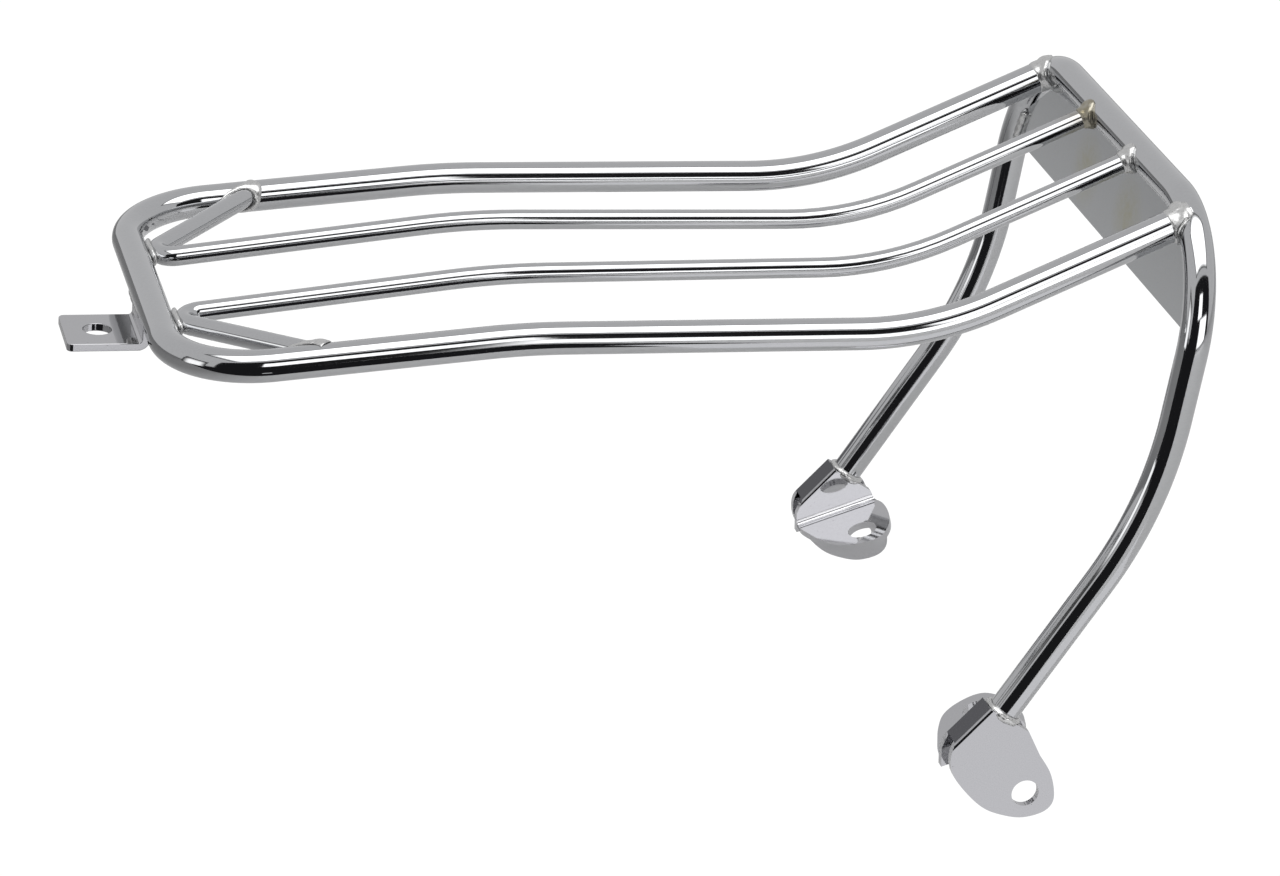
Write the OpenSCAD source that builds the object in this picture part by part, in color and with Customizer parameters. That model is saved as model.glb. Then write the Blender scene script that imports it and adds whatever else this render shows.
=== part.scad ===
// Chrome motorcycle luggage rack: a welded tube platform with a rear hoop, two
// hairpin-ended inner rods, a back plate, a front strap and two side brackets.
// +X points to the rear of the motorcycle, +Y to its right side, +Z up.
// The origin is the centre of the bolt hole in the front strap.

/* [Tube and rod] */
// Outside diameter of the frame tube and of the hoop tube
tube_d = 15.9; // [14:0.1:20]
// Wall thickness of the tube
tube_wall = 1.6; // [1:0.1:2.5]
// Diameter of the solid inner rods
rod_d = 10; // [7:0.1:12]
// Leg size of the weld beads
bead = 2.4; // [1.5:0.1:3.5]

/* [Platform] */
// Distance between the centre lines of the two side rails
rail_spacing = 216; // [180:1:260]
// Centre-line radius of the two front corners
front_corner_r = 46; // [35:1:60]
// Length of the sloping front part of the rails, front tube to bend
front_run = 167; // [120:1:220]
// Height of the flat part of the rails above the front tube
front_drop = 16; // [4:1:30]
// Length of the flat part of the rails
flat_run = 201; // [160:1:260]
// Length of the rising rear part, measured level, bend to crossbar
rear_run = 127.5; // [110:0.5:170]
// Height of the crossbar above the flat part
rear_rise = 63; // [50:1:80]
// Drop of the centres of the rail ends below the top of the crossbar beside them
rail_drop = 6.48955; // [5:0.00005:8]
// Radius of the shallow front bend of the rails
front_bend_r = 400; // [250:10:600]
// Radius of the rear bend of the rails
rear_bend_r = 160; // [100:5:200]

/* [Inner rods] */
// Distance between the rods at the front
rod_spacing_front = 73; // [60:1:90]
// Distance between the rods at the rear
rod_spacing_rear = 65; // [50:1:80]
// Height of the rods above the rails on the flat part
rod_lift = 4.7; // [3:0.1:6]
// Height of the rod ends above the centre of the crossbar
rod_seat = 1.2; // [0:0.1:3]
// Angle in plan between each rod and its diagonal brace
brace_angle = 45; // [38:1:52]
// Centre-line radius of the hairpin bend at the front tube
hairpin_r = 9; // [8:0.5:12]

/* [Rear hoop] */
// Distance between the centre lines of the two legs
leg_spacing = 291.4; // [270:0.2:330]
// Centre-line radius of the top corners of the hoop
hoop_corner_r = 62; // [50:1:70]
// Lean of the upper part of the hoop, degrees from upright
hoop_lean = 5.8; // [2:0.1:12]
// Distance from the crossbar to the bend in the legs
upper_leg = 142.8; // [130:0.2:160]
// Distance from the bend in the legs to their lower ends
lower_leg = 128.5; // [110:0.5:150]
// Angle of the bend in the legs
leg_bend = 25.1; // [15:0.1:30]
// Centre-line radius of the bend in the legs
leg_bend_r = 213; // [120:1:240]

/* [Back plate] */
// Thickness of the back plate
plate_t = 3; // [2:0.1:4]
// Distance from the crossbar centre to the lower edge of the plate
plate_h = 54; // [45:1:60]
// Width of the plate where it meets the crossbar
plate_top_w = 192; // [180:1:200]
// Level at which the clipped corners of the plate end on the legs
plate_clip_h = 39; // [34:0.5:42]

/* [Front strap] */
// Width of the front strap
strap_w = 38; // [32:1:50]
// Thickness of the front strap
strap_t = 4; // [3:0.1:5]
// Diameter of the bolt hole in the front strap
strap_hole_d = 14.2; // [10:0.1:16]
// Distance from the bolt hole to the free end of the strap
strap_end = 17; // [14:0.5:24]
// Distance from the bolt hole back to the centre of the front tube
strap_reach = 23; // [20:0.5:30]
// Distance of the strap's upright end ahead of the centre of the front tube
strap_upright = 1.5; // [0:0.1:2]
// Gap in height between the level part of the strap and the front tube
strap_step = 13; // [9:0.5:16]
// Inside radius of the strap's bend
strap_bend_r = 2; // [1:0.1:3]

/* [Side brackets] */
// Thickness of the bracket plate
bracket_t = 4; // [3:0.1:5]
// Distance of the outer face of each ear from the leg centre line
ear_offset = 8; // [7:0.1:11]
// Distance of the inner face of the inner wall from the leg centre line
wall_offset = 8; // [6:0.1:9]
// Diameter of the bolt hole in each ear
ear_hole_d = 14.2; // [10:0.1:16]
// Diameter of the hole in each bracket flange
flange_hole_d = 16; // [12:0.1:18]
// Reach of the flange towards the middle, from the inner face of the wall
flange_reach = 44; // [42:0.5:50]
// Inside radius of the fold between inner wall and flange
fold_r = 3; // [2:0.1:4]
// Outside radius of the folds beside the web
web_fold_r = 2.5; // [1.5:0.1:3]
// Slope of the fold line, degrees above level towards the rear
fold_slope = 19.5; // [16:0.5:24]

/* [Hidden] */
$fn = 72;
lap = 0.2;
hair = 0.01;
far = 100;
chrome = [0.78, 0.79, 0.8];
weld_colour = [0.62, 0.62, 0.6];

tube_r = tube_d / 2;
rod_r = rod_d / 2;
rail_y = rail_spacing / 2;
leg_y = leg_spacing / 2;

// Side view of the platform: each point is [x, z].
front_pt = [strap_reach, strap_t / 2 + strap_step + tube_r];
bend_1 = front_pt + [front_run, front_drop];
bend_2 = bend_1 + [flat_run, 0];
bar_pt = bend_2 + [rear_run, rear_rise];

// The rails meet the crossbar where it already curves down into the legs.
corner_in = max(0, rail_y - leg_y + hoop_corner_r);
corner_drop = hoop_corner_r - sqrt(pow(hoop_corner_r, 2) - pow(corner_in, 2));
rail_end = bar_pt + [0, tube_r - corner_drop - rail_drop];
rear_slope = atan2(rail_end[1] - bend_2[1], rear_run);

// The rods lie above the rails and come down to the height of the front tube.
rod_bend_1 = bend_1 + [0, rod_lift];
rod_bend_2 = bend_2 + [0, rod_lift];
rod_end = bar_pt + [0, rod_seat];
rod_pitch = atan2(rod_bend_1[1] - front_pt[1], front_run);
rod_nose_y = rod_spacing_front / 2;

// The hairpin touches the back of the front tube, sunk in far enough to be coped.
nose_sink = 0.8;
nose_x = front_pt[0] + tube_r + rod_r - nose_sink;
vertex_x = nose_x + hairpin_r - hairpin_r / tan(brace_angle / 2);
brace_run = (rail_y - rod_nose_y) / tan(brace_angle);

// The hoop leans forward as it goes down; u runs down the lower leg.
upper_dir = [-sin(hoop_lean), -cos(hoop_lean)];
lower_lean = hoop_lean + leg_bend;
lower_dir = [-sin(lower_lean), -cos(lower_lean)];
knee = bar_pt + upper_leg * upper_dir;
leg_end = knee + lower_leg * lower_dir;

// Bracket outlines: each point is [x, z], measured from the leg end. The web lies
// along the straight front edge that ear and inner wall share.
web_top = [-6.5, 8];
web_low = [-25.2, -13];
ear_curve = [
    web_low, [-26.9, -20], [-24.7, -30.2], [-15.5, -41.8], [-5.7, -50.1], [5.3, -54.3],
    [14.9, -55.6], [24.7, -53.1], [29.4, -48.2], [29.5, -40.9], [26.2, -30.6], [19.7, -20.8]
];
ear_top = [[10, -3], [2, 7]];
ear_hole = [14.4, -41.9];
fold_start = [-21.7, -25.5];
wall_corners = [
    web_top, web_low, [-28, -21], [-27, -34], [16.5, -17.5], [13.5, -8.5], [8, -1], [2, 7]
];
// Flange outline: each point is [along the fold, towards the middle].
flange_curve = [
    [-5, -6], [-5.5, 4], [-2.3, 15.7], [0.9, 24.9], [5.8, 34.4], [11.8, 39.8], [19.3, 43],
    [27, flange_reach], [33, 41.3], [39, 32], [42, 20], [42, 8], [39, 0], [38, -6]
];
flange_hole = [24, 29.5];
wall_y = leg_y - wall_offset;
ear_y = leg_y + ear_offset;

function unit(v) = v / norm(v);
function point(p, y) = [p[0], y, p[1]];

// Distance from a corner to the start of a fillet of radius r.
function fillet_run(a, b, c, r) =
    let (u = unit(a - b), v = unit(c - b))
    r / tan(acos(max(-1, min(1, u * v))) / 2);

// Polygon points of one rounded corner.
function round_corner(a, b, c, r, steps = 10) =
    let (
        u = unit(a - b),
        v = unit(c - b),
        half = acos(max(-1, min(1, u * v))) / 2,
        centre = b + unit(u + v) * r / sin(half),
        start = b + u * (r / tan(half)) - centre,
        finish = b + v * (r / tan(half)) - centre,
        sweep = 180 - 2 * half
    )
    [for (i = [0 : steps])
        centre + (start * sin(sweep * (1 - i / steps)) + finish * sin(sweep * i / steps))
        / sin(sweep)];

// Smooth open curve through the given points.
function smooth_curve(p, steps = 5) =
    let (last = len(p) - 1)
    [for (i = [0 : last - 1])
        let (
            p0 = p[max(i - 1, 0)],
            p1 = p[i],
            p2 = p[i + 1],
            p3 = p[min(i + 2, last)]
        )
        for (k = [0 : i == last - 1 ? steps : steps - 1])
            let (t = k / steps)
            (2 * p1 + t * (p2 - p0) + t * t * (2 * p0 - 5 * p1 + 4 * p2 - p3)
                + t * t * t * (3 * p1 - p0 - 3 * p2 + p3)) / 2];

// Closed outline with a fillet at each of its corners.
module rounded_outline(corners) {
    count = len(corners);
    xy = [for (c = corners) [c[0], c[1]]];
    polygon([for (i = [0 : count - 1])
        each round_corner(xy[(i + count - 1) % count], xy[i], xy[(i + 1) % count],
            corners[i][2])]);
}

// Puts its children at origin with their X and Z axes along x_dir and z_dir.
module place(origin, x_dir, z_dir) {
    y_dir = cross(z_dir, x_dir);
    multmatrix([
        [x_dir[0], y_dir[0], z_dir[0], origin[0]],
        [x_dir[1], y_dir[1], z_dir[1], origin[1]],
        [x_dir[2], y_dir[2], z_dir[2], origin[2]],
        [0, 0, 0, 1]
    ])
    children();
}

// Round bar between two points.
module bar(a, b, r) {
    axis = unit(b - a);
    side = abs(axis[1]) > 0.9 ? [1, 0, 0] : [0, 1, 0];
    place(a, unit(cross(side, axis)), axis)
    cylinder(r = r, h = norm(b - a));
}

// Round bar bent to the points, with a bend radius at each inner point. The straight
// lengths lap into the bends and are a hair thicker, so that all of it fuses.
module bent_bar(points, bends, r) {
    last = len(points) - 1;
    run = [for (i = [0 : last])
        i == 0 || i == last ? 0
        : fillet_run(points[i - 1], points[i], points[i + 1], bends[i - 1])];
    for (i = [0 : last - 1]) {
        dir = unit(points[i + 1] - points[i]);
        lap_a = i == 0 ? 0 : lap;
        lap_b = i == last - 1 ? 0 : lap;
        bar(points[i] + dir * (run[i] - lap_a), points[i + 1] - dir * (run[i + 1] - lap_b),
            r + hair);
    }
    for (i = [1 : last - 1]) {
        u = unit(points[i - 1] - points[i]);
        v = unit(points[i + 1] - points[i]);
        half = acos(u * v) / 2;
        centre = points[i] + unit(u + v) * bends[i - 1] / sin(half);
        start = points[i] + u * run[i] - centre;
        place(centre, unit(start), unit(cross(u, v)) * -1)
        rotate_extrude(angle = 180 - 2 * half)
        translate([bends[i - 1], 0])
        circle(r = r);
    }
}

// Extrudes an outline drawn in side view, from y0 to y1.
module side_plate(y0, y1) {
    translate([0, y1, 0])
    rotate([90, 0, 0])
    linear_extrude(y1 - y0)
    children();
}

// Copies its children to the right side when side is 1.
module on_side(side) {
    if (side < 0)
        children();
    else
        mirror([0, 1, 0])
        children();
}

// Centre lines
rail_points = [
    point(rail_end, -rail_y), point(bend_2, -rail_y), point(bend_1, -rail_y),
    point(front_pt, -rail_y), point(front_pt, rail_y), point(bend_1, rail_y),
    point(bend_2, rail_y), point(rail_end, rail_y)
];
rail_bends = [
    rear_bend_r, front_bend_r, front_corner_r, front_corner_r, front_bend_r, rear_bend_r
];
hoop_points = [
    point(leg_end, -leg_y), point(knee, -leg_y), point(bar_pt, -leg_y),
    point(bar_pt, leg_y), point(knee, leg_y), point(leg_end, leg_y)
];
hoop_bends = [leg_bend_r, hoop_corner_r, hoop_corner_r, leg_bend_r];
vertex_pt = front_pt + (vertex_x - front_pt[0]) * [1, tan(rod_pitch)];
brace_end = vertex_pt + brace_run * [1, tan(rod_pitch)];
rod_points = [
    point(rod_end, -rod_spacing_rear / 2), point(rod_bend_2, -rod_spacing_rear / 2),
    point(rod_bend_1, -rod_nose_y), point(vertex_pt, -rod_nose_y), point(brace_end, -rail_y)
];
rod_bends = [rear_bend_r, front_bend_r, hairpin_r];

module rail_shape(r) {
    bent_bar(rail_points, rail_bends, r);
}

module hoop_shape(r) {
    bent_bar(hoop_points, hoop_bends, r);
}

module rod_shape(r) {
    bent_bar(rod_points, rod_bends, r);
}

// Crossbar with its two corners, down to part of each leg
module crossbar(r) {
    stub = bar_pt + 90 * upper_dir;
    bent_bar([point(stub, -leg_y), hoop_points[2], hoop_points[3], point(stub, leg_y)],
        [hoop_corner_r, hoop_corner_r], r);
}

module front_tube(r) {
    bar(point(front_pt, -rail_y + front_corner_r), point(front_pt, rail_y - front_corner_r), r);
}

// Front tube and both rails, one tube bent to shape, coped to the crossbar
module outer_frame() {
    color(chrome)
    difference() {
        rail_shape(tube_r);
        rail_shape(tube_r - tube_wall);
        crossbar(tube_r);
    }
}

// Rod with its hairpin nose and diagonal brace, coped where it meets the tubes
module inner_rod(side) {
    color(chrome)
    on_side(side)
    difference() {
        rod_shape(rod_r);
        crossbar(tube_r);
        front_tube(tube_r);
        rail_shape(tube_r);
    }
}

// Crossbar and both legs, one bent tube
module rear_hoop() {
    color(chrome)
    difference() {
        hoop_shape(tube_r);
        hoop_shape(tube_r - tube_wall);
    }
}

// Plate in the plane of the hoop, with clipped top corners
module plate_shape(t) {
    leg_w = leg_spacing / 2;
    place(point(bar_pt, 0), [0, 1, 0], [cos(hoop_lean), 0, -sin(hoop_lean)])
    translate([0, 0, -t / 2])
    linear_extrude(t)
    mirror([0, 1])
    polygon([
        [-plate_top_w / 2, 0], [plate_top_w / 2, 0], [plate_top_w / 2, tube_r],
        [leg_w - tube_r, plate_clip_h], [leg_w, plate_clip_h], [leg_w, plate_h],
        [-leg_w, plate_h], [-leg_w, plate_clip_h], [-leg_w + tube_r, plate_clip_h],
        [-plate_top_w / 2, tube_r]
    ]);
}

// What lies outside the centre line of the hoop at one of its top corners
module beyond_corner(side) {
    place(point(bar_pt, 0), [0, 1, 0], [cos(hoop_lean), 0, -sin(hoop_lean)])
    translate([side * (leg_y - hoop_corner_r), -hoop_corner_r, -plate_t])
    difference() {
        translate([side > 0 ? 0 : -hoop_corner_r, 0, 0])
        cube([hoop_corner_r, hoop_corner_r, 2 * plate_t]);
        translate([0, 0, -plate_t])
        cylinder(r = hoop_corner_r, h = 4 * plate_t);
    }
}

module back_plate() {
    color(chrome)
    difference() {
        plate_shape(plate_t);
        hoop_shape(tube_r);
        beyond_corner(-1);
        beyond_corner(1);
    }
}

// Front strap: level at the bolt hole, then bent up to stand under the front tube
strap_top = front_pt[1] - tube_r;
strap_back = strap_reach - strap_upright;

module strap_profile() {
    start = [-strap_end, 0];
    corner = [strap_back, 0];
    finish = [strap_back, front_pt[1]];
    line_r = strap_bend_r + strap_t / 2;
    line = concat([start], round_corner(start, corner, finish, line_r), [finish]);
    last = len(line) - 1;
    normals = [for (i = [0 : last])
        let (d = unit(line[min(i + 1, last)] - line[max(i - 1, 0)]))
        [-d[1], d[0]] * strap_t / 2];
    polygon(concat(
        [for (i = [0 : last]) line[i] + normals[i]],
        [for (i = [last : -1 : 0]) line[i] - normals[i]]));
}

module strap_shape() {
    corner_r = 3;
    intersection() {
        side_plate(-strap_w / 2, strap_w / 2)
        strap_profile();
        translate([0, 0, -strap_t])
        linear_extrude(front_pt[1] + 2 * strap_t)
        rounded_outline([
            [-strap_end, -strap_w / 2, corner_r], [-strap_end, strap_w / 2, corner_r],
            [strap_reach + 2 * tube_r, strap_w / 2, corner_r],
            [strap_reach + 2 * tube_r, -strap_w / 2, corner_r]
        ]);
    }
}

module front_strap() {
    color(chrome)
    difference() {
        strap_shape();
        translate([0, 0, -strap_t])
        cylinder(d = strap_hole_d, h = 2 * strap_t);
        front_tube(tube_r);
    }
}

// Bracket for the left leg, drawn from the leg end
module bracket_shape() {
    ear_in = ear_y - bracket_t;
    wall_out = wall_y + bracket_t;
    difference() {
        translate([leg_end[0], 0, leg_end[1]]) {
            side_plate(-ear_y, -ear_in)
            polygon(concat([web_top], smooth_curve(ear_curve), ear_top));
            // Web that joins ear and inner wall along their front edges
            side_plate(-ear_in - bracket_t / 2, -wall_out + bracket_t / 2)
            web_strip();
            fold_shape();
        }
        web_fold_cut(ear_y, -1);
        web_fold_cut(wall_y, 1);
    }
}

// Strip one plate thickness wide behind the straight front edge
module web_strip() {
    along = unit(web_low - web_top);
    back = [-along[1], along[0]] * bracket_t;
    polygon([web_top, web_low, web_low + back, web_top + back]);
}

// Rounds the outer corner of one of the two folds beside the web: fold_y is the face
// that the web folds into, and inwards is the side of it that the web lies on.
module web_fold_cut(fold_y, inwards) {
    along = unit(web_low - web_top);
    reach = web_fold_r + 2;
    place([leg_end[0] + web_top[0], -fold_y, leg_end[1] + web_top[1]], [0, -inwards, 0],
        [along[0], 0, along[1]])
    translate([0, 0, -reach])
    linear_extrude(norm(web_low - web_top) + 2 * reach)
    scale([1, -inwards])
    difference() {
        translate([-reach, -reach])
        square(reach + web_fold_r);
        translate([web_fold_r, web_fold_r])
        circle(r = web_fold_r * 1.06);
    }
}

// Inner wall folded into the flange, along the sloping fold line
module fold_shape() {
    fold_dir = [cos(fold_slope), 0, sin(fold_slope)];
    fold_origin = [fold_start[0], -wall_y, fold_start[1]];
    intersection() {
        // Angle section, swept along the fold: local X points to the middle
        place(fold_origin, [0, 1, 0], fold_dir * -1)
        translate([0, 0, -far])
        linear_extrude(2 * far)
        mirror([0, 1])
        fold_section();
        union() {
            side_plate(-wall_y - 2 * bracket_t, -wall_y + fold_r / 4)
            polygon(wall_corners);
            translate(fold_origin)
            rotate([0, -fold_slope, 0])
            translate([0, 0, -2 * bracket_t])
            linear_extrude(2 * bracket_t + fold_r)
            polygon(smooth_curve(flange_curve));
        }
    }
}

// Section across the fold: inner wall upwards, flange towards the middle
module fold_section() {
    difference() {
        translate([-bracket_t, -bracket_t])
        square(far);
        translate([fold_r, fold_r])
        circle(r = fold_r);
        translate([fold_r, 0])
        square(far);
        translate([0, fold_r])
        square(far);
    }
}

// Everything above the square-cut end of the left leg
module above_leg_end() {
    reach = 60;
    place(point(leg_end, -leg_y), [cos(lower_lean), 0, -sin(lower_lean)],
        [-lower_dir[0], 0, -lower_dir[1]])
    translate([-reach, -reach, 0])
    cube([2 * reach, 2 * reach, reach]);
}

module side_bracket(side) {
    color(chrome)
    on_side(side)
    difference() {
        bracket_shape_cut();
        translate([leg_end[0] + ear_hole[0], -ear_y - 1, leg_end[1] + ear_hole[1]])
        rotate([-90, 0, 0])
        cylinder(d = ear_hole_d, h = bracket_t + 2);
        translate([leg_end[0] + fold_start[0], -wall_y, leg_end[1] + fold_start[1]])
        rotate([0, -fold_slope, 0])
        translate([flange_hole[0], flange_hole[1], -bracket_t - 1])
        cylinder(d = flange_hole_d, h = bracket_t + 2);
    }
}

// Each weld bead fills the corner round a joint: both pieces grown by the bead,
// where they cross, less the pieces themselves.
weld_back = 3;

// Straight end of a bar that runs into the crossbar
module bar_tail(from, to, y, r) {
    dir = unit(to - from);
    bar(point(to - 40 * dir, y), point(to - weld_back * dir, y), r);
}

// Everything behind the front face of the back plate, however wide the plate is
module behind_plate() {
    place(point(bar_pt, 0), [0, 1, 0], [cos(hoop_lean), 0, -sin(hoop_lean)])
    translate([-rail_spacing, -far, -plate_t / 2])
    cube([2 * rail_spacing, 2 * far, far]);
}

module weld_rail(side) {
    color(weld_colour)
    on_side(side)
    difference() {
        intersection() {
            crossbar(tube_r + bead);
            bar_tail(bend_2, rail_end, -rail_y, tube_r + bead);
        }
        crossbar(tube_r);
        bar_tail(bend_2, rail_end, -rail_y, tube_r);
        behind_plate();
    }
}

module weld_rod(side) {
    color(weld_colour)
    on_side(side)
    difference() {
        intersection() {
            crossbar(tube_r + bead);
            bar_tail(rod_bend_2, rod_end, -rod_spacing_rear / 2, rod_r + bead);
        }
        crossbar(tube_r);
        bar_tail(rod_bend_2, rod_end, -rod_spacing_rear / 2, rod_r);
    }
}

module hairpin_shape(r) {
    bent_bar([rod_points[2], rod_points[3], rod_points[4]], [hairpin_r], r);
}

module weld_hairpin(side) {
    color(weld_colour)
    on_side(side)
    difference() {
        intersection() {
            front_tube(tube_r + bead);
            hairpin_shape(rod_r + bead);
        }
        front_tube(tube_r);
        hairpin_shape(rod_r);
    }
}

module front_rail(r) {
    corner_end = front_pt + front_corner_r * unit(bend_1 - front_pt);
    bar(point(corner_end, -rail_y), point(bend_1, -rail_y), r);
}

module brace_bar(r) {
    bar(rod_points[3], rod_points[4], r);
}

module weld_brace(side) {
    color(weld_colour)
    on_side(side)
    difference() {
        intersection() {
            front_rail(tube_r + bead);
            brace_bar(rod_r + bead);
        }
        front_rail(tube_r);
        brace_bar(rod_r);
    }
}

// Bead down the side of the plate, on both of its faces
module weld_plate(side) {
    color(weld_colour)
    on_side(side)
    difference() {
        intersection() {
            hoop_shape(tube_r + bead);
            plate_shape(plate_t + 2 * bead);
            translate([0, -leg_y, 0])
            cube([2 * bar_pt[0], tube_r + 4 * bead, bar_pt[1] - plate_clip_h + 2]);
        }
        hoop_shape(tube_r);
        plate_shape(plate_t);
    }
}

// Fillets in front of and behind the strap's upright end, under the front tube
module weld_strap() {
    half_run = strap_w / 2 - bead;
    color(weld_colour)
    difference() {
        intersection() {
            front_tube(tube_r + bead);
            translate([strap_back - strap_t / 2 - bead, -half_run, strap_t])
            cube([strap_t + 2 * bead, 2 * half_run, front_pt[1] - strap_t]);
        }
        front_tube(tube_r);
        strap_shape();
    }
}

// Ring of weld round the lower end of the leg
module weld_bracket(side) {
    color(weld_colour)
    on_side(side)
    difference() {
        place(point(leg_end, -leg_y), [cos(lower_lean), 0, -sin(lower_lean)],
            [-lower_dir[0], 0, -lower_dir[1]])
        rotate_extrude()
        translate([tube_r, 0])
        circle(r = bead);
        bar(point(knee, -leg_y), point(leg_end, -leg_y), tube_r);
        bracket_shape_cut();
    }
}

module bracket_shape_cut() {
    difference() {
        bracket_shape();
        above_leg_end();
    }
}

outer_frame();
inner_rod(-1);  // inner_rod_left
inner_rod(1);  // inner_rod_right
rear_hoop();
back_plate();
front_strap();
side_bracket(-1);  // side_bracket_left
side_bracket(1);  // side_bracket_right
weld_rail(-1);  // weld_rail_left
weld_rail(1);  // weld_rail_right
weld_rod(-1);  // weld_rod_left
weld_rod(1);  // weld_rod_right
weld_hairpin(-1);  // weld_hairpin_left
weld_hairpin(1);  // weld_hairpin_right
weld_brace(-1);  // weld_brace_left
weld_brace(1);  // weld_brace_right
weld_plate(-1);  // weld_plate_left
weld_plate(1);  // weld_plate_right
weld_strap();
weld_bracket(-1);  // weld_bracket_left
weld_bracket(1);  // weld_bracket_right
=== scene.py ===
import math

import bmesh
import bpy
from mathutils import Matrix, Vector


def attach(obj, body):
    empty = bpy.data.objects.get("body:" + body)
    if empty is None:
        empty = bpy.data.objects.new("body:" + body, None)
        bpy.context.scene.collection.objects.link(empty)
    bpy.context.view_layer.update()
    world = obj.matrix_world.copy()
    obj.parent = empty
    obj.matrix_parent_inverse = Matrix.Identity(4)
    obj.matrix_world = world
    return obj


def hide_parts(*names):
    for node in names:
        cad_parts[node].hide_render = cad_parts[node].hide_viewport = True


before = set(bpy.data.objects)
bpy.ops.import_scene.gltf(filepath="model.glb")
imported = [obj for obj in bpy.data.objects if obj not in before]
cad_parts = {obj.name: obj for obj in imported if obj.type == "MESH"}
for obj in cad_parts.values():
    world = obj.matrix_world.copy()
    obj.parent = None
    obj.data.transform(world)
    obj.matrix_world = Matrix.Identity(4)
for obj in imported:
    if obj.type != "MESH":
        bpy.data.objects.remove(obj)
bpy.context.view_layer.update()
mm = 0.001
print("frame loaded")


# selection and edit mode
def nothingSelected():
    if bpy.context.mode != "OBJECT":
        bpy.ops.object.mode_set(mode="OBJECT")
    bpy.ops.object.select_all(action="DESELECT")


def makeActive(piece):
    nothingSelected()
    piece.select_set(True)
    bpy.context.view_layer.objects.active = piece


def startEditing(piece):
    makeActive(piece)
    bpy.ops.object.mode_set(mode="EDIT")
    bpy.ops.mesh.select_all(action="SELECT")


def bakePlace(piece):
    makeActive(piece)
    bpy.ops.object.transform_apply(location=True, rotation=True, scale=True)


def applyModifier(piece, kind, **settings):
    makeActive(piece)
    modifier = piece.modifiers.new(kind.lower(), kind)
    for key, value in settings.items():
        setattr(modifier, key, value)
    bpy.ops.object.modifier_apply(modifier=modifier.name)


def point(side, y):  # a side-view point [x, z] in mm, moved to y
    return Vector((side[0], y, side[1])) * mm


# bent tube: a ring extruded along each straight and spun round each bend
def bendRun(a, b, c, r):
    u, v = (a - b).normalized(), (c - b).normalized()
    return r / math.tan(math.acos(u.dot(v)) / 2)


meshing = {  # lengths in mm, angles in degrees
    "tubeRing": 64, "rodRing": 48, "tubeBendStep": 1.5, "rodBendStep": 3, "fewestSteps": 6,
    "straightStep": 12.0, "mergeDistance": 0.01, "smoothAngle": 40,
}


def bendTube(name, points, bends, radius, ring="tubeRing", bendStep="tubeBendStep"):
    bends = [b * mm for b in bends]
    inner = range(1, len(points) - 1)
    runs = [0.0] + [bendRun(*points[i - 1:i + 2], bends[i - 1]) for i in inner] + [0.0]
    heading = (points[1] - points[0]).normalized()
    nothingSelected()
    bpy.ops.mesh.primitive_circle_add(
        vertices=meshing[ring], radius=radius * mm, location=points[0],
        rotation=heading.to_track_quat("Z", "Y").to_euler())
    tube = bpy.context.active_object
    tube.name = name
    startEditing(tube)
    for i in range(len(points) - 1):
        heading = (points[i + 1] - points[i]).normalized()
        length = (points[i + 1] - points[i]).length - runs[i] - runs[i + 1]
        rings = max(1, round(length / (meshing["straightStep"] * mm)))
        for _ in range(rings):
            bpy.ops.mesh.extrude_region_move(
                TRANSFORM_OT_translate={"value": heading * length / rings})
        if i + 2 < len(points):
            nextHeading = (points[i + 2] - points[i + 1]).normalized()
            half = math.acos(-heading.dot(nextHeading)) / 2
            inwards = (nextHeading - heading).normalized()
            turn = math.pi - 2 * half
            steps = round(math.degrees(turn) / meshing[bendStep])
            bpy.ops.mesh.spin(
                steps=max(meshing["fewestSteps"], steps), angle=-turn,
                center=points[i + 1] + inwards * bends[i] / math.sin(half),
                axis=heading.cross(nextHeading).normalized())
    bpy.ops.mesh.select_all(action="SELECT")
    bpy.ops.mesh.remove_doubles(threshold=meshing["mergeDistance"] * mm)
    bpy.ops.mesh.fill_holes(sides=0)
    bpy.ops.mesh.select_all(action="SELECT")
    bpy.ops.mesh.normals_make_consistent(inside=False)
    bpy.ops.object.mode_set(mode="OBJECT")
    bakePlace(tube)
    bpy.ops.object.shade_smooth_by_angle(angle=math.radians(meshing["smoothAngle"]))
    return tube


def mirroredCopy(piece, name):
    copy = piece.copy()
    copy.data = piece.data.copy()
    copy.name = name
    bpy.context.collection.objects.link(copy)
    copy.scale = (1, -1, 1)
    bakePlace(copy)
    startEditing(copy)
    bpy.ops.mesh.normals_make_consistent(inside=False)
    bpy.ops.object.mode_set(mode="OBJECT")
    return copy


def copyOfNode(node, name):
    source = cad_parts[node]
    copy = source.copy()
    copy.data = source.data.copy()
    copy.name = name
    bpy.context.collection.objects.link(copy)
    startEditing(copy)
    bpy.ops.mesh.remove_doubles(threshold=meshing["mergeDistance"] * mm)
    bpy.ops.mesh.customdata_custom_splitnormals_clear()
    bpy.ops.object.mode_set(mode="OBJECT")
    return copy


def dress(piece, material, slotName, *nodes):
    piece.data.materials.clear()
    piece.data.materials.append(material)
    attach(piece, "root")
    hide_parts(*nodes)


# shader groups
def newGroup(name, inputs, outputs):
    group = bpy.data.node_groups.new(name, "ShaderNodeTree")
    for label, kind, value in inputs:
        socket = group.interface.new_socket(label, in_out="INPUT", socket_type=kind)
        if value is not None:
            socket.default_value = value
    for label, kind in outputs:
        group.interface.new_socket(label, in_out="OUTPUT", socket_type=kind)
    entry = group.nodes.new("NodeGroupInput")
    leave = group.nodes.new("NodeGroupOutput")
    return group, entry, leave


def addNode(tree, kind, values=(), **settings):
    made = tree.nodes.new(kind)
    for key, value in settings.items():
        setattr(made, key, value)
    for key, value in dict(values).items():
        made.inputs[key].default_value = value
    return made


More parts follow.
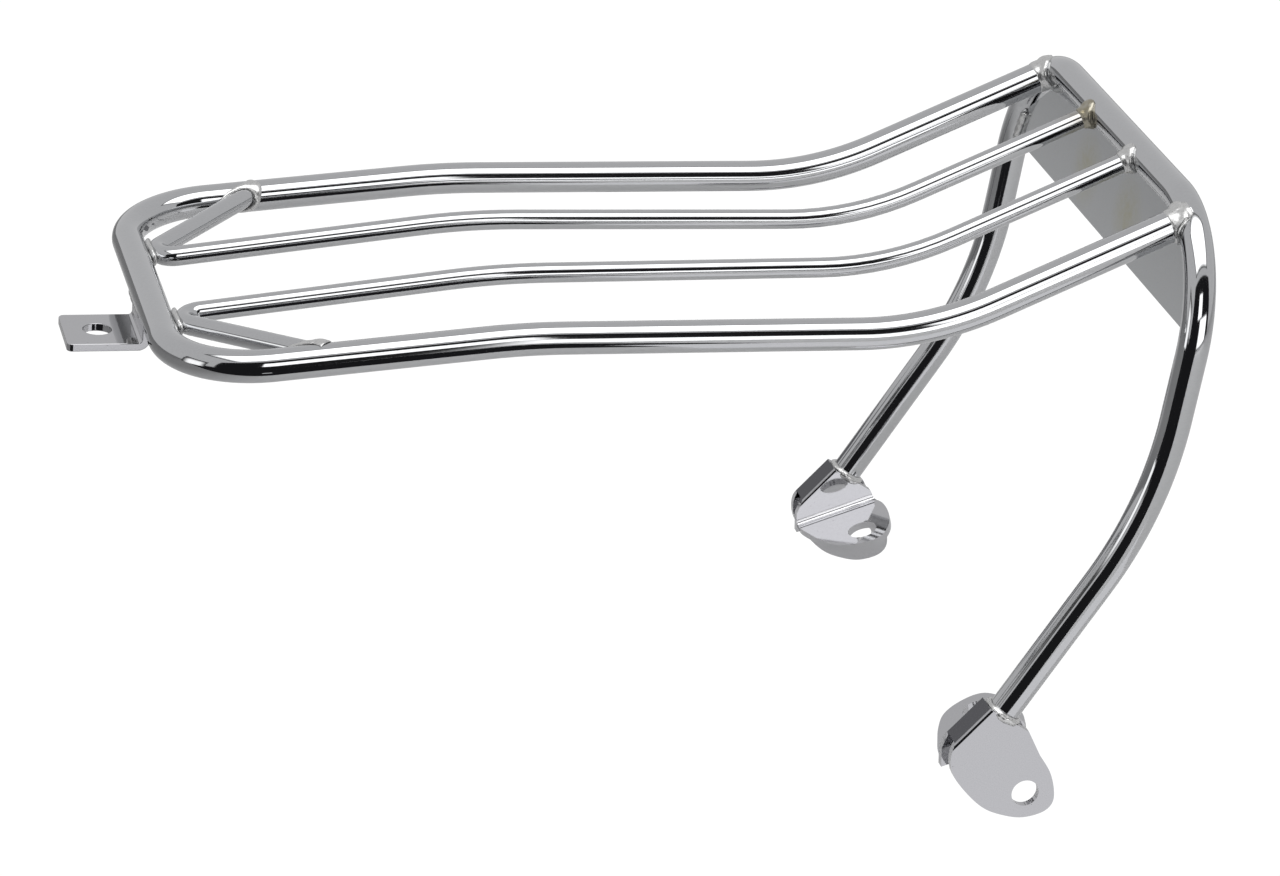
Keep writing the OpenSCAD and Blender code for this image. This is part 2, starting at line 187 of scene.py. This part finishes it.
def mixColours(tree, mask, first, second):  # each colour is a value or another node's output
    mix = addNode(tree, "ShaderNodeMix", data_type="RGBA")
    for socket, colour in ((mix.inputs[6], first), (mix.inputs[7], second)):
        if isinstance(colour, tuple):
            socket.default_value = (*colour, 1)
        else:
            tree.links.new(colour, socket)
    tree.links.new(mask, mix.inputs[0])
    return mix.outputs[2]


def makePolishGroup():  # fine polishing lines and slow ripples left by the buffing wheel
    group, entry, leave = newGroup(
        "bufferPolish",
        [("Position", "NodeSocketVector", None), ("Line Scale", "NodeSocketFloat", 900.0),
         ("Ripple Scale", "NodeSocketFloat", 45.0)],
        [("Lines", "NodeSocketFloat"), ("Ripple", "NodeSocketFloat")])
    link = group.links.new
    fine = addNode(group, "ShaderNodeTexNoise", {"Detail": 3.0, "Roughness": 0.6})
    slow = addNode(group, "ShaderNodeTexNoise", {"Detail": 1.0, "Roughness": 0.4})
    link(entry.outputs["Position"], fine.inputs["Vector"])
    link(entry.outputs["Line Scale"], fine.inputs["Scale"])
    link(entry.outputs["Position"], slow.inputs["Vector"])
    link(entry.outputs["Ripple Scale"], slow.inputs["Scale"])
    link(fine.outputs["Fac"], leave.inputs["Lines"])
    link(slow.outputs["Fac"], leave.inputs["Ripple"])
    return group


def makePitGroup():  # small dark pits and specks in the plating
    group, entry, leave = newGroup(
        "platingPits",
        [("Position", "NodeSocketVector", None), ("Scale", "NodeSocketFloat", 300.0),
         ("Amount", "NodeSocketFloat", 0.2)],
        [("Mask", "NodeSocketFloat")])
    link = group.links.new
    cells = addNode(group, "ShaderNodeTexVoronoi", {"Randomness": 1.0}, feature="F1")
    size = addNode(group, "ShaderNodeMapRange", {"To Min": 1.0, "To Max": 0.0})
    link(entry.outputs["Position"], cells.inputs["Vector"])
    link(entry.outputs["Scale"], cells.inputs["Scale"])
    link(cells.outputs["Distance"], size.inputs["Value"])
    link(entry.outputs["Amount"], size.inputs["From Max"])
    link(size.outputs["Result"], leave.inputs["Mask"])
    return group


def makeTintGroup():  # olive and straw heat colour that fades away from a point
    group, entry, leave = newGroup(
        "heatTint",
        [("Position", "NodeSocketVector", None), ("Centre", "NodeSocketVector", (0, 0, 0)),
         ("Reach", "NodeSocketFloat", 0.02)],
        [("Mask", "NodeSocketFloat")])
    link = group.links.new
    away = addNode(group, "ShaderNodeVectorMath", operation="DISTANCE")
    fade = addNode(group, "ShaderNodeMapRange", {"To Min": 1.0, "To Max": 0.0})
    patches = addNode(group, "ShaderNodeTexNoise", {"Scale": 260.0, "Detail": 2.0})
    both = addNode(group, "ShaderNodeMath", operation="MULTIPLY")
    link(entry.outputs["Position"], away.inputs[0])
    link(entry.outputs["Centre"], away.inputs[1])
    link(away.outputs["Value"], fade.inputs["Value"])
    link(entry.outputs["Reach"], fade.inputs["From Max"])
    link(entry.outputs["Position"], patches.inputs["Vector"])
    link(fade.outputs["Result"], both.inputs[0])
    link(patches.outputs["Fac"], both.inputs[1])
    link(both.outputs["Value"], leave.inputs["Mask"])
    return group


polishGroup = makePolishGroup()
pitGroup = makePitGroup()
tintGroup = makeTintGroup()
print("shader groups built")

plating = {"pitColour": (0.06, 0.055, 0.05), "lineDepth": 0.05, "rippleDepth": 1.0}  # depths in mm


def chromeMaterial(name, look):
    material = bpy.data.materials.new(name)
    material.use_nodes = True
    tree = material.node_tree
    link = tree.links.new
    shader = tree.nodes["Principled BSDF"]
    shader.inputs["Metallic"].default_value = 1.0
    place = addNode(tree, "ShaderNodeTexCoord")
    position = place.outputs["Object"]
    polish = addNode(tree, "ShaderNodeGroup", node_tree=polishGroup)
    polish.inputs["Line Scale"].default_value = look["lineScale"]
    polish.inputs["Ripple Scale"].default_value = look["rippleScale"]
    pits = addNode(tree, "ShaderNodeGroup", node_tree=pitGroup)
    pits.inputs["Scale"].default_value = look["pitScale"]
    pits.inputs["Amount"].default_value = look["pitAmount"]
    stretch = addNode(tree, "ShaderNodeMapping", {"Scale": look["stretch"]})
    link(position, stretch.inputs["Vector"])
    link(stretch.outputs["Vector"], polish.inputs["Position"])
    link(position, pits.inputs["Position"])
    tone = mixColours(tree, polish.outputs["Lines"], look["dark"], look["bright"])
    colour = mixColours(tree, pits.outputs["Mask"], tone, plating["pitColour"])
    for centre, reach, tint in look.get("tints", ()):
        heat = addNode(tree, "ShaderNodeGroup", node_tree=tintGroup)
        heat.inputs["Centre"].default_value = centre
        heat.inputs["Reach"].default_value = reach
        link(position, heat.inputs["Position"])
        colour = mixColours(tree, heat.outputs["Mask"], colour, tint)
    link(colour, shader.inputs["Base Color"])
    sheen = addNode(
        tree, "ShaderNodeMapRange", {"To Min": look["smooth"], "To Max": look["rough"]})
    link(polish.outputs["Lines"], sheen.inputs["Value"])
    link(sheen.outputs["Result"], shader.inputs["Roughness"])
    fineBump = addNode(
        tree, "ShaderNodeBump",
        {"Strength": look["lineBump"], "Distance": plating["lineDepth"] * mm})
    slowBump = addNode(
        tree, "ShaderNodeBump",
        {"Strength": look["rippleBump"], "Distance": plating["rippleDepth"] * mm})
    link(polish.outputs["Lines"], fineBump.inputs["Height"])
    link(polish.outputs["Ripple"], slowBump.inputs["Height"])
    link(slowBump.outputs["Normal"], fineBump.inputs["Normal"])
    link(fineBump.outputs["Normal"], shader.inputs["Normal"])
    return material


# looks: tints are centre and reach in metres, then colour
tubeLook = {
    "bright": (0.57, 0.575, 0.585), "dark": (0.49, 0.495, 0.505), "smooth": 0.045, "rough": 0.09,
    "lineScale": 1400.0, "rippleScale": 35.0, "stretch": (0.25, 1, 1),
    "lineBump": 0.004, "rippleBump": 0.012, "pitScale": 160.0, "pitAmount": 0.03,
}
rodLook = dict(tubeLook, tints=[((0.512, 0.0325, 0.104), 0.022, (0.20, 0.15, 0.06))])
plateLook = dict(
    tubeLook, bright=(0.56, 0.57, 0.58), dark=(0.47, 0.48, 0.49), smooth=0.06, rough=0.12,
    lineScale=1100.0, stretch=(1, 1, 1), lineBump=0.05,
    tints=[((0.514, -0.0325, 0.070), 0.022, (0.45, 0.42, 0.25)),
           ((0.514, 0.0325, 0.070), 0.022, (0.45, 0.42, 0.25))])
bracketLook = dict(
    tubeLook, bright=(0.57, 0.57, 0.585), dark=(0.46, 0.46, 0.475), smooth=0.035, rough=0.08,
    lineScale=1600.0, stretch=(1, 1, 1), lineBump=0.06, pitAmount=0.05)
weldLook = dict(
    tubeLook, bright=(0.72, 0.72, 0.72), dark=(0.50, 0.50, 0.49), smooth=0.2, rough=0.42,
    lineScale=700.0, stretch=(1, 1, 1), lineBump=0.2, rippleBump=0.3, rippleScale=220.0,
    pitScale=420.0, pitAmount=0.16)
burntLook = dict(
    weldLook, bright=(0.50, 0.47, 0.38), pitAmount=0.22,
    tints=[((0.512, 0.0325, 0.104), 0.05, (0.17, 0.13, 0.04))])
chromeTube = chromeMaterial("chromeTube", tubeLook)
chromeRod = chromeMaterial("chromeRod", rodLook)
chromePlate = chromeMaterial("chromePlate", plateLook)
chromeBracket = chromeMaterial("chromeBracket", bracketLook)
chromeWeld = chromeMaterial("chromeWeld", weldLook)
burntWeld = chromeMaterial("burntWeld", burntLook)
print("materials built")

# sizes in mm, side-view points as [x, z]
tubeSizes = {"tubeRadius": 7.95, "rodRadius": 5.0, "wall": 1.6, "boreDepth": 30.0}

# outer frame
platform = {
    "railY": 108.0, "front": (23.0, 22.95), "bend1": (190.0, 38.95), "bend2": (391.0, 38.95),
    "railEnd": (518.5, 98.45), "cornerRadius": 46.0, "frontBend": 400.0, "rearBend": 160.0,
}
railY = platform["railY"]
railSide = [platform[key] for key in ("railEnd", "bend2", "bend1", "front")]
railPath = [point(p, -railY) for p in railSide] + [point(p, railY) for p in reversed(railSide)]
railBends = [platform[key] for key in ("rearBend", "frontBend", "cornerRadius")]
outerFrame = bendTube(
    "outerFrameTube", railPath, railBends + railBends[::-1], tubeSizes["tubeRadius"])
dress(outerFrame, chromeTube, "chrome", "outer_frame")
print("outer frame bent")

# inner rods
rods = {
    "frontY": 36.5, "rearY": 32.5, "lift": 4.7, "noseSink": 0.8, "braceAngle": 45.0,
    "hairpinRadius": 9.0,
}
lift = rods["lift"]
frontX, frontZ = platform["front"]
rodBend1 = (platform["bend1"][0], platform["bend1"][1] + lift)
rodBend2 = (platform["bend2"][0], platform["bend2"][1] + lift)
rodEnd = (platform["railEnd"][0], platform["railEnd"][1] + lift)
pitch = (rodBend1[1] - frontZ) / (rodBend1[0] - frontX)
noseX = frontX + tubeSizes["tubeRadius"] + tubeSizes["rodRadius"] - rods["noseSink"]
braceAngle = math.radians(rods["braceAngle"])
vertexX = noseX + rods["hairpinRadius"] * (1 - 1 / math.tan(braceAngle / 2))
vertex = (vertexX, frontZ + (vertexX - frontX) * pitch)
braceRun = (railY - rods["frontY"]) / math.tan(braceAngle)
braceEnd = (vertex[0] + braceRun, vertex[1] + braceRun * pitch)
rodPath = [
    point(rodEnd, -rods["rearY"]), point(rodBend2, -rods["rearY"]),
    point(rodBend1, -rods["frontY"]), point(vertex, -rods["frontY"]), point(braceEnd, -railY),
]
rodBends = [platform["rearBend"], platform["frontBend"], rods["hairpinRadius"]]
innerRodLeft = bendTube(
    "innerRodLeft", rodPath, rodBends, tubeSizes["rodRadius"], "rodRing", "rodBendStep")
innerRodRight = mirroredCopy(innerRodLeft, "innerRodRight")
dress(innerRodLeft, chromeRod, "chrome", "inner_rod_left")
dress(innerRodRight, chromeRod, "chrome", "inner_rod_right")
print("inner rods bent")

# rear hoop
hoop = {
    "legY": 145.7, "bar": (518.5, 101.95), "lean": 5.8, "upperLeg": 142.8, "lowerLeg": 128.5,
    "bend": 25.1, "cornerRadius": 62.0, "legRadius": 213.0,
}
legY = hoop["legY"]
lean = math.radians(hoop["lean"])
lowerLean = math.radians(hoop["lean"] + hoop["bend"])
bar = Vector(hoop["bar"])
knee = bar + hoop["upperLeg"] * Vector((-math.sin(lean), -math.cos(lean)))
legEnd = knee + hoop["lowerLeg"] * Vector((-math.sin(lowerLean), -math.cos(lowerLean)))
hoopSide = [legEnd, knee, bar]
hoopPath = [point(p, -legY) for p in hoopSide] + [point(p, legY) for p in reversed(hoopSide)]
hoopBends = [hoop["legRadius"], hoop["cornerRadius"], hoop["cornerRadius"], hoop["legRadius"]]
rearHoop = bendTube("rearHoopTube", hoopPath, hoopBends, tubeSizes["tubeRadius"])
startEditing(rearHoop)
bpy.ops.mesh.select_all(action="DESELECT")
mesh = bmesh.from_edit_mesh(rearHoop.data)
for face in mesh.faces:
    face.select = len(face.verts) == meshing["tubeRing"]  # the two end caps
mesh.select_flush_mode()
bmesh.update_edit_mesh(rearHoop.data)
bpy.ops.mesh.inset(thickness=tubeSizes["wall"] * mm)
bpy.ops.mesh.extrude_faces_move(
    TRANSFORM_OT_shrink_fatten={"value": -tubeSizes["boreDepth"] * mm})
bpy.ops.object.mode_set(mode="OBJECT")
bpy.ops.object.shade_smooth_by_angle(angle=math.radians(meshing["smoothAngle"]))
dress(rearHoop, chromeTube, "chrome", "rear_hoop")
print("rear hoop bent")


# plates: merged copies of the exact plates with their edges rounded over
plateEdges = {  # roundings in mm, angles in degrees
    "back": 0.6, "strap": 0.7, "bracket": 0.7, "segments": 3, "flatAngle": 0.8,
    "smoothAngle": 30, "roundedFrom": 40,
}


def roundedPlate(node, name, edge):
    plate = copyOfNode(node, name)
    startEditing(plate)
    bpy.ops.mesh.dissolve_limited(angle_limit=math.radians(plateEdges["flatAngle"]))
    bpy.ops.object.mode_set(mode="OBJECT")
    bpy.ops.object.shade_smooth_by_angle(angle=math.radians(plateEdges["smoothAngle"]))
    applyModifier(
        plate, "BEVEL", width=plateEdges[edge] * mm, segments=plateEdges["segments"],
        limit_method="ANGLE", angle_limit=math.radians(plateEdges["roundedFrom"]),
        harden_normals=True, use_clamp_overlap=True)
    applyModifier(plate, "WEIGHTED_NORMAL", keep_sharp=True, weight=100)  # flats stay flat
    return plate


backPlate = roundedPlate("back_plate", "backPlateSheet", "back")
dress(backPlate, chromePlate, "chrome", "back_plate")
frontStrap = roundedPlate("front_strap", "frontStrapPlate", "strap")
dress(frontStrap, chromeBracket, "chrome", "front_strap")
for side, word in (("left", "Left"), ("right", "Right")):
    bracket = roundedPlate("side_bracket_" + side, "sideBracket" + word, "bracket")
    dress(bracket, chromeBracket, "chrome", "side_bracket_" + side)
print("plates dressed")


# weld beads: remeshed copies of the exact beads, melted, swollen and made lumpy
welding = {  # lengths in mm
    "voxel": 0.45, "lumpSize": 3.2, "melt": 0.6, "lastRounds": 4,
    "sleeveLength": 13.0, "railSleeve": 0.45, "rodSleeve": 0.6,
}
weldShapes = {  # kind: rounds of melting, swelling, height of the lumps
    "weld_rail": (80, 0.2, 0.5), "weld_rod": (60, 0.35, 0.7), "weld_hairpin": (70, 0.4, 0.5),
    "weld_brace": (60, 0.1, 0.5), "weld_plate": (2, 0.4, 1.0), "weld_strap": (3, 0.3, 0.8),
    "weld_bracket": (5, 0.05, 0.9),
}
sleeves = {  # kind: side-view ends of the bar, distance from the middle, radius
    "weld_rail": (
        platform["bend2"], platform["railEnd"], railY,
        tubeSizes["tubeRadius"] + welding["railSleeve"]),
    "weld_rod": (
        rodBend2, rodEnd, rods["rearY"], tubeSizes["rodRadius"] + welding["rodSleeve"]),
}
weldLumps = bpy.data.textures.new("weldLumps", "CLOUDS")
weldLumps.noise_scale = welding["lumpSize"] * mm
weldLumps.noise_depth = 2


def addSleeve(bead, start, end, y, radius):  # melted collar on the bar, joined to its bead
    tip = point(end, y)
    heading = (tip - point(start, y)).normalized()
    back = heading * welding["sleeveLength"] * mm
    collar = bendTube("collar", [tip - back, tip], [], radius, "rodRing")
    makeActive(bead)
    collar.select_set(True)
    bpy.ops.object.join()


for node in sorted(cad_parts):
    if not node.startswith("weld_"):
        continue
    kind = node.replace("_left", "").replace("_right", "")
    rounds, swelling, lump = weldShapes[kind]
    words = node.split("_")
    bead = copyOfNode(node, words[0] + "".join(word.capitalize() for word in words[1:]))
    if kind in sleeves:
        start, end, away, radius = sleeves[kind]
        addSleeve(bead, start, end, -away if words[-1] == "left" else away, radius)
    applyModifier(
        bead, "REMESH", mode="VOXEL", voxel_size=welding["voxel"] * mm, use_smooth_shade=True)
    applyModifier(bead, "SMOOTH", factor=welding["melt"], iterations=rounds)
    applyModifier(bead, "DISPLACE", strength=swelling * mm, mid_level=0.0)
    applyModifier(
        bead, "DISPLACE", strength=lump * mm, mid_level=0.5, texture=weldLumps,
        texture_coords="LOCAL")
    applyModifier(bead, "SMOOTH", factor=welding["melt"], iterations=welding["lastRounds"])
    dress(bead, burntWeld if node == "weld_rod_right" else chromeWeld, "weld", node)
print("weld beads dressed")


# studio, in metres
studio = {
    # the two lifts raise the glowing cards that paint shade and reflections just above the floor
    "floorX": 0.25, "floorZ": -0.245, "floorSize": 30, "carpetLift": 0.004, "matLift": 0.006,
    # painted shade: the paper's colour falls from floor to floorDim between dimFrom and dimTo
    "floor": 0.66, "floorDim": 0.3, "dimFrom": 0.25, "dimTo": -0.35, "paper": 0.9,
    "wall": 0.68, "wallBlue": 1.01, "background": 1.05,
}
paintedGlows = {  # name: colour, strength of a glow that paints shade or reflections on the chrome
    "darkCloth": ((1, 1, 1.1), 0.015), "dimCloth": ((1, 1, 1.05), 0.17),
    "paleCloth": ((1, 1, 1.02), 0.95),
}
towardsRack, upwards, downwards = (0, 1, 0), (0, 0, 1), (0, 0, -1)
# heights of the glowing cards on the floor that paint shade and reflections
shadeCardZ = studio["floorZ"] + studio["carpetLift"]
reflectionCardZ = studio["floorZ"] + studio["matLift"]
cards = {  # name: centre, size, facing, painted glow
    # painted shade: near-black glowing cards behind the camera and on the floor give the chrome
    # its dark reflections
    "darkRoom": ((0.3, -2.4, 0.6), (7.0, 4.2), towardsRack, "darkCloth"),
    "darkCarpet": ((-1.2, -1.4, shadeCardZ), (3.3, 2.1), upwards, "darkCloth"),
    # painted reflections: small dim glowing cards behind the rack give the bracket webs and
    # crossbar dim reflections
    "nearDoorway": ((0.205, 0.25, -0.042), (0.1, 0.08), towardsRack, "dimCloth"),
    "farDoorway": ((0.371, 0.25, -0.131), (0.09, 0.06), towardsRack, "dimCloth"),
    # painted reflections: pale glowing cards on the floor put pale reflections on the bracket ear
    # and the strap's front edge
    "paleMat": ((0.52, -0.37, reflectionCardZ), (0.34, 0.32), upwards, "paleCloth"),
    "paleStrip": ((0.075, -0.6, reflectionCardZ), (0.09, 0.07), upwards, "paleCloth"),
}
softboxes = {  # name: centre, size, facing, radiance, width of the faded edge
    "overheadBox": ((0.35, -0.45, 1.6), (2.8, 1.45), downwards, 2.8, 0.14),
    "frontBox": ((1.10, -1.6, 0.15), (1.45, 0.7), towardsRack, 2.3, 0.12),
    "leftBox": ((-1.5, -0.45, 0.0), (0.8, 1.3), (1, 0, 0), 1.8, 0.3),
    "highBox": ((0.22, -2.2, 1.10), (1.0, 1.0), towardsRack, 2.2, 0.1),
}


def emitter(name, colour, strength):
    material = bpy.data.materials.new(name)
    material.use_nodes = True
    tree = material.node_tree
    tree.nodes.clear()
    glow = addNode(tree, "ShaderNodeEmission", {"Color": (*colour, 1), "Strength": strength})
    leave = addNode(tree, "ShaderNodeOutputMaterial")
    tree.links.new(glow.outputs["Emission"], leave.inputs["Surface"])
    return material


def card(name, centre, size, facing, material):  # a flat card that only reflections see
    nothingSelected()
    turn = Vector(facing).to_track_quat("Z", "Y").to_euler()
    bpy.ops.mesh.primitive_plane_add(size=1, location=centre, rotation=turn)
    made = bpy.context.active_object
    made.name = name
    made.scale = (size[0], size[1], 1)
    made.visible_camera = False
    made.data.materials.append(material)
    bakePlace(made)


def softbox(name, centre, size, facing, radiance, fade):  # glow that fades towards its edges
    material = emitter(name, (1, 1, 1), radiance)
    tree = material.node_tree
    link = tree.links.new
    glow = next(n for n in tree.nodes if n.type == "EMISSION")
    place = addNode(tree, "ShaderNodeTexCoord")
    split = addNode(tree, "ShaderNodeSeparateXYZ")
    link(place.outputs["UV"], split.inputs["Vector"])
    level = addNode(tree, "ShaderNodeValue")
    level.outputs["Value"].default_value = radiance
    strength = level.outputs["Value"]
    for axis in ("X", "Y"):  # distance from the card's middle, 0 to 0.5
        offset = addNode(tree, "ShaderNodeMath", {1: 0.5}, operation="SUBTRACT")
        away = addNode(tree, "ShaderNodeMath", operation="ABSOLUTE")
        ramp = addNode(
            tree, "ShaderNodeMapRange",
            {"From Min": 0.5 - fade, "From Max": 0.5, "To Min": 1.0, "To Max": 0.0},
            interpolation_type="SMOOTHSTEP")
        product = addNode(tree, "ShaderNodeMath", operation="MULTIPLY")
        link(split.outputs[axis], offset.inputs[0])
        link(offset.outputs["Value"], away.inputs[0])
        link(away.outputs["Value"], ramp.inputs["Value"])
        link(strength, product.inputs[0])
        link(ramp.outputs["Result"], product.inputs[1])
        strength = product.outputs["Value"]
    link(strength, glow.inputs["Strength"])
    card(name, centre, size, facing, material)


def paperMaterial(name):  # white to the camera, pale grey to reflections
    material = bpy.data.materials.new(name)
    material.use_nodes = True
    tree = material.node_tree
    paper = tree.nodes["Principled BSDF"]
    paper.inputs["Roughness"].default_value = studio["paper"]
    place = addNode(tree, "ShaderNodeTexCoord")
    split = addNode(tree, "ShaderNodeSeparateXYZ")
    slope = addNode(
        tree, "ShaderNodeMapRange",
        {"From Min": studio["dimTo"], "From Max": studio["dimFrom"],
         "To Min": studio["floorDim"], "To Max": studio["floor"]},
        interpolation_type="SMOOTHSTEP")  # painted shade: the paper's colour is darker in front of the rack
    tree.links.new(place.outputs["Object"], split.inputs["Vector"])
    tree.links.new(split.outputs["X"], slope.inputs["Value"])
    tree.links.new(slope.outputs["Result"], paper.inputs["Base Color"])
    rays = addNode(tree, "ShaderNodeLightPath")
    white = addNode(
        tree, "ShaderNodeEmission", {"Color": (1, 1, 1, 1), "Strength": studio["background"]})
    either = addNode(tree, "ShaderNodeMixShader")
    tree.links.new(rays.outputs["Is Camera Ray"], either.inputs[0])
    tree.links.new(paper.outputs["BSDF"], either.inputs[1])
    tree.links.new(white.outputs["Emission"], either.inputs[2])
    tree.links.new(either.outputs["Shader"], tree.nodes["Material Output"].inputs["Surface"])
    return material


world = bpy.data.worlds.new("paleStudio")
bpy.context.scene.world = world
world.use_nodes = True
sky = world.node_tree
sky.nodes.clear()
rays = addNode(sky, "ShaderNodeLightPath")
air = addNode(sky, "ShaderNodeBackground")
out = addNode(sky, "ShaderNodeOutputWorld")
wall = (studio["wall"], studio["wall"], studio["wall"] * studio["wallBlue"])
seen = mixColours(sky, rays.outputs["Is Camera Ray"], wall, (studio["background"],) * 3)
sky.links.new(seen, air.inputs["Color"])
sky.links.new(air.outputs["Background"], out.inputs["Surface"])

nothingSelected()
bpy.ops.mesh.primitive_plane_add(
    size=studio["floorSize"], location=(studio["floorX"], 0, studio["floorZ"]))
floor = bpy.context.active_object
floor.name = "paleFloor"
floor.data.materials.append(paperMaterial("palePaper"))
bakePlace(floor)

# painted shade and painted reflections: glowing cards that only the chrome's reflections see
paintedGlowMaterials = {name: emitter(name, *values) for name, values in paintedGlows.items()}
for name, (centre, size, facing, paintedGlow) in cards.items():
    card(name, centre, size, facing, paintedGlowMaterials[paintedGlow])
for name, values in softboxes.items():
    softbox(name, *values)
print("studio lit")

# camera
shot = {  # angles in degrees, distance, target, lens and sensor in mm, farthest in metres
    "azimuth": -15.336, "elevation": 23.291, "roll": 5.054, "distance": 2434.5,
    "target": (279.65, 0.92, -62.62), "lens": 134.4, "sensor": 36.0, "farthest": 50.0,
}
az, el, roll = (math.radians(shot[key]) for key in ("azimuth", "elevation", "roll"))
back = Vector((math.sin(az) * math.cos(el), -math.cos(az) * math.cos(el), math.sin(el)))
level = Vector((math.cos(az), math.sin(az), 0))
upright = back.cross(level)
right = math.cos(roll) * level + math.sin(roll) * upright
up = -math.sin(roll) * level + math.cos(roll) * upright
lens = bpy.data.cameras.new("photoCamera")
lens.lens, lens.sensor_width, lens.clip_end = shot["lens"], shot["sensor"], shot["farthest"]
lens.dof.use_dof = False
eye = bpy.data.objects.new("photoCamera", lens)
bpy.context.collection.objects.link(eye)
place = (Vector(shot["target"]) + back * shot["distance"]) * mm
eye.matrix_world = Matrix.Translation(place) @ Matrix((right, up, back)).transposed().to_4x4()
bpy.context.scene.camera = eye
bpy.context.scene.view_settings.view_transform = "Standard"
bpy.context.scene.view_settings.look = "None"
print("camera set")
